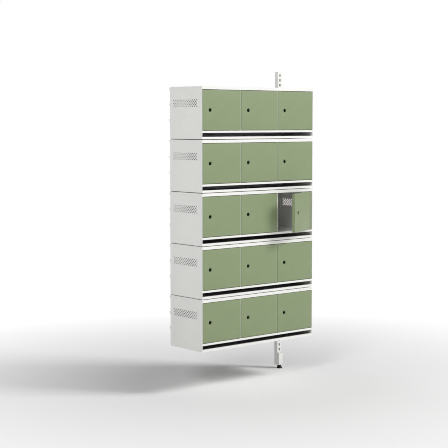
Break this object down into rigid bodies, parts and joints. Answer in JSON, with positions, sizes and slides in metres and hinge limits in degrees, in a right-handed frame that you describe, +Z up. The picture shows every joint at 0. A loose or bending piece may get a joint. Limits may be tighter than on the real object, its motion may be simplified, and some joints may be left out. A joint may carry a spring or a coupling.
{
  "type": "phone charging locker bay",
  "caption": "Wall-hung bay of stacked steel locker modules with hinged, lockable green doors over cable ducts, hooked on a slotted upright with a levelling foot.",
  "frame": {"origin": "centre of the levelling foot's underside, on the floor; X = 0 is the wall upright's centre line, where the cabinet's right side hangs", "axes": "+Z up, +Y towards the wall the bay is fixed to, +X to the right for a person facing the doors; the doors face -Y"},
  "size_m": [0.939, 0.4641, 1.9745],
  "materials": {
    "white_steel": "fine-textured satin powder coat, warm white",
    "green_steel": "fine-textured satin powder coat, sage green",
    "lock_black": "black cast metal, semi-gloss",
    "rail_aluminium": "natural anodised extrusion",
    "foot_plastic": "moulded black plastic",
    "zinc_steel": "zinc-plated threaded steel"
  },
  "bodies": {
    "cabinet": {"side_left_r1": "white_steel", "side_right_r1": "white_steel", "carcass_r1": "white_steel", "base_tray_r1": "white_steel", "charging_rail_r1": "rail_aluminium", "side_left_r2": "white_steel", "side_right_r2": "white_steel", "carcass_r2": "white_steel", "base_tray_r2": "white_steel", "charging_rail_r2": "rail_aluminium", "side_left_r3": "white_steel", "side_right_r3": "white_steel", "carcass_r3": "white_steel", "base_tray_r3": "white_steel", "charging_rail_r3": "rail_aluminium", "side_left_r4": "white_steel", "side_right_r4": "white_steel", "carcass_r4": "white_steel", "base_tray_r4": "white_steel", "charging_rail_r4": "rail_aluminium", "side_left_r5": "white_steel", "side_right_r5": "white_steel", "carcass_r5": "white_steel", "base_tray_r5": "white_steel", "charging_rail_r5": "rail_aluminium", "wall_upright": "white_steel", "leg": "white_steel"},
    "foot": {"foot_pad": "foot_plastic", "foot_stem": "zinc_steel"},
    "door_r1_c1": {"door_r1_c1": "green_steel"},
    "lock_r1_c1": {"lock_r1_c1": "lock_black"},
    "door_r1_c2": {"door_r1_c2": "green_steel"},
    "lock_r1_c2": {"lock_r1_c2": "lock_black"},
    "door_r1_c3": {"door_r1_c3": "green_steel"},
    "lock_r1_c3": {"lock_r1_c3": "lock_black"},
    "door_r2_c1": {"door_r2_c1": "green_steel"},
    "lock_r2_c1": {"lock_r2_c1": "lock_black"},
    "door_r2_c2": {"door_r2_c2": "green_steel"},
    "lock_r2_c2": {"lock_r2_c2": "lock_black"},
    "door_r2_c3": {"door_r2_c3": "green_steel"},
    "lock_r2_c3": {"lock_r2_c3": "lock_black"},
    "door_r3_c1": {"door_r3_c1": "green_steel"},
    "lock_r3_c1": {"lock_r3_c1": "lock_black"},
    "door_r3_c2": {"door_r3_c2": "green_steel"},
    "lock_r3_c2": {"lock_r3_c2": "lock_black"},
    "door_r3_c3": {"door_r3_c3": "green_steel"},
    "lock_r3_c3": {"lock_r3_c3": "lock_black"},
    "door_r4_c1": {"door_r4_c1": "green_steel"},
    "lock_r4_c1": {"lock_r4_c1": "lock_black"},
    "door_r4_c2": {"door_r4_c2": "green_steel"},
    "lock_r4_c2": {"lock_r4_c2": "lock_black"},
    "door_r4_c3": {"door_r4_c3": "green_steel"},
    "lock_r4_c3": {"lock_r4_c3": "lock_black"},
    "door_r5_c1": {"door_r5_c1": "green_steel"},
    "lock_r5_c1": {"lock_r5_c1": "lock_black"},
    "door_r5_c2": {"door_r5_c2": "green_steel"},
    "lock_r5_c2": {"lock_r5_c2": "lock_black"},
    "door_r5_c3": {"door_r5_c3": "green_steel"},
    "lock_r5_c3": {"lock_r5_c3": "lock_black"}
  },
  "joints": [
    {"name": "foot_screw", "type": "slide", "parent": "cabinet", "child": "foot", "axis": [0, 0, 1], "range_m": [-0.015, 0]},
    {"name": "door_r1_c1_hinge", "type": "hinge", "parent": "cabinet", "child": "door_r1_c1", "pos_m": [-0.63167, -0.3035, 1.7155], "axis": [0, 0, 1], "range_deg": [0, 100]},
    {"name": "door_r1_c2_hinge", "type": "hinge", "parent": "cabinet", "child": "door_r1_c2", "pos_m": [-0.32633, -0.3035, 1.7155], "axis": [0, 0, 1], "range_deg": [0, 100]},
    {"name": "door_r1_c3_hinge", "type": "hinge", "parent": "cabinet", "child": "door_r1_c3", "pos_m": [-0.021, -0.3035, 1.7155], "axis": [0, 0, 1], "range_deg": [0, 100]},
    {"name": "door_r2_c1_hinge", "type": "hinge", "parent": "cabinet", "child": "door_r2_c1", "pos_m": [-0.63167, -0.3035, 1.3955], "axis": [0, 0, 1], "range_deg": [0, 100]},
    {"name": "door_r2_c2_hinge", "type": "hinge", "parent": "cabinet", "child": "door_r2_c2", "pos_m": [-0.32633, -0.3035, 1.3955], "axis": [0, 0, 1], "range_deg": [0, 100]},
    {"name": "door_r2_c3_hinge", "type": "hinge", "parent": "cabinet", "child": "door_r2_c3", "pos_m": [-0.021, -0.3035, 1.3955], "axis": [0, 0, 1], "range_deg": [0, 100]},
    {"name": "door_r3_c1_hinge", "type": "hinge", "parent": "cabinet", "child": "door_r3_c1", "pos_m": [-0.63167, -0.3035, 1.0755], "axis": [0, 0, 1], "range_deg": [0, 100]},
    {"name": "door_r3_c2_hinge", "type": "hinge", "parent": "cabinet", "child": "door_r3_c2", "pos_m": [-0.32633, -0.3035, 1.0755], "axis": [0, 0, 1], "range_deg": [0, 100]},
    {"name": "door_r3_c3_hinge", "type": "hinge", "parent": "cabinet", "child": "door_r3_c3", "pos_m": [-0.021, -0.3035, 1.0755], "axis": [0, 0, 1], "range_deg": [-26, 74]},
    {"name": "door_r4_c1_hinge", "type": "hinge", "parent": "cabinet", "child": "door_r4_c1", "pos_m": [-0.63167, -0.3035, 0.7555], "axis": [0, 0, 1], "range_deg": [0, 100]},
    {"name": "door_r4_c2_hinge", "type": "hinge", "parent": "cabinet", "child": "door_r4_c2", "pos_m": [-0.32633, -0.3035, 0.7555], "axis": [0, 0, 1], "range_deg": [0, 100]},
    {"name": "door_r4_c3_hinge", "type": "hinge", "parent": "cabinet", "child": "door_r4_c3", "pos_m": [-0.021, -0.3035, 0.7555], "axis": [0, 0, 1], "range_deg": [0, 100]},
    {"name": "door_r5_c1_hinge", "type": "hinge", "parent": "cabinet", "child": "door_r5_c1", "pos_m": [-0.63167, -0.3035, 0.4355], "axis": [0, 0, 1], "range_deg": [0, 100]},
    {"name": "door_r5_c2_hinge", "type": "hinge", "parent": "cabinet", "child": "door_r5_c2", "pos_m": [-0.32633, -0.3035, 0.4355], "axis": [0, 0, 1], "range_deg": [0, 100]},
    {"name": "door_r5_c3_hinge", "type": "hinge", "parent": "cabinet", "child": "door_r5_c3", "pos_m": [-0.021, -0.3035, 0.4355], "axis": [0, 0, 1], "range_deg": [0, 100]},
    {"name": "lock_r1_c1_turn", "type": "hinge", "parent": "door_r1_c1", "child": "lock_r1_c1", "pos_m": [-0.858, -0.3035, 1.7155], "axis": [0, 1, 0], "range_deg": [0, 90]},
    {"name": "lock_r1_c2_turn", "type": "hinge", "parent": "door_r1_c2", "child": "lock_r1_c2", "pos_m": [-0.55267, -0.3035, 1.7155], "axis": [0, 1, 0], "range_deg": [0, 90]},
    {"name": "lock_r1_c3_turn", "type": "hinge", "parent": "door_r1_c3", "child": "lock_r1_c3", "pos_m": [-0.24733, -0.3035, 1.7155], "axis": [0, 1, 0], "range_deg": [0, 90]},
    {"name": "lock_r2_c1_turn", "type": "hinge", "parent": "door_r2_c1", "child": "lock_r2_c1", "pos_m": [-0.858, -0.3035, 1.3955], "axis": [0, 1, 0], "range_deg": [0, 90]},
    {"name": "lock_r2_c2_turn", "type": "hinge", "parent": "door_r2_c2", "child": "lock_r2_c2", "pos_m": [-0.55267, -0.3035, 1.3955], "axis": [0, 1, 0], "range_deg": [0, 90]},
    {"name": "lock_r2_c3_turn", "type": "hinge", "parent": "door_r2_c3", "child": "lock_r2_c3", "pos_m": [-0.24733, -0.3035, 1.3955], "axis": [0, 1, 0], "range_deg": [0, 90]},
    {"name": "lock_r3_c1_turn", "type": "hinge", "parent": "door_r3_c1", "child": "lock_r3_c1", "pos_m": [-0.858, -0.3035, 1.0755], "axis": [0, 1, 0], "range_deg": [0, 90]},
    {"name": "lock_r3_c2_turn", "type": "hinge", "parent": "door_r3_c2", "child": "lock_r3_c2", "pos_m": [-0.55267, -0.3035, 1.0755], "axis": [0, 1, 0], "range_deg": [0, 90]},
    {"name": "lock_r3_c3_turn", "type": "hinge", "parent": "door_r3_c3", "child": "lock_r3_c3", "pos_m": [-0.22443, -0.40272, 1.0755], "axis": [-0.4384, 0.8988, 0], "range_deg": [0, 90]},
    {"name": "lock_r4_c1_turn", "type": "hinge", "parent": "door_r4_c1", "child": "lock_r4_c1", "pos_m": [-0.858, -0.3035, 0.7555], "axis": [0, 1, 0], "range_deg": [0, 90]},
    {"name": "lock_r4_c2_turn", "type": "hinge", "parent": "door_r4_c2", "child": "lock_r4_c2", "pos_m": [-0.55267, -0.3035, 0.7555], "axis": [0, 1, 0], "range_deg": [0, 90]},
    {"name": "lock_r4_c3_turn", "type": "hinge", "parent": "door_r4_c3", "child": "lock_r4_c3", "pos_m": [-0.24733, -0.3035, 0.7555], "axis": [0, 1, 0], "range_deg": [0, 90]},
    {"name": "lock_r5_c1_turn", "type": "hinge", "parent": "door_r5_c1", "child": "lock_r5_c1", "pos_m": [-0.858, -0.3035, 0.4355], "axis": [0, 1, 0], "range_deg": [0, 90]},
    {"name": "lock_r5_c2_turn", "type": "hinge", "parent": "door_r5_c2", "child": "lock_r5_c2", "pos_m": [-0.55267, -0.3035, 0.4355], "axis": [0, 1, 0], "range_deg": [0, 90]},
    {"name": "lock_r5_c3_turn", "type": "hinge", "parent": "door_r5_c3", "child": "lock_r5_c3", "pos_m": [-0.24733, -0.3035, 0.4355], "axis": [0, 1, 0], "range_deg": [0, 90]}
  ]
}
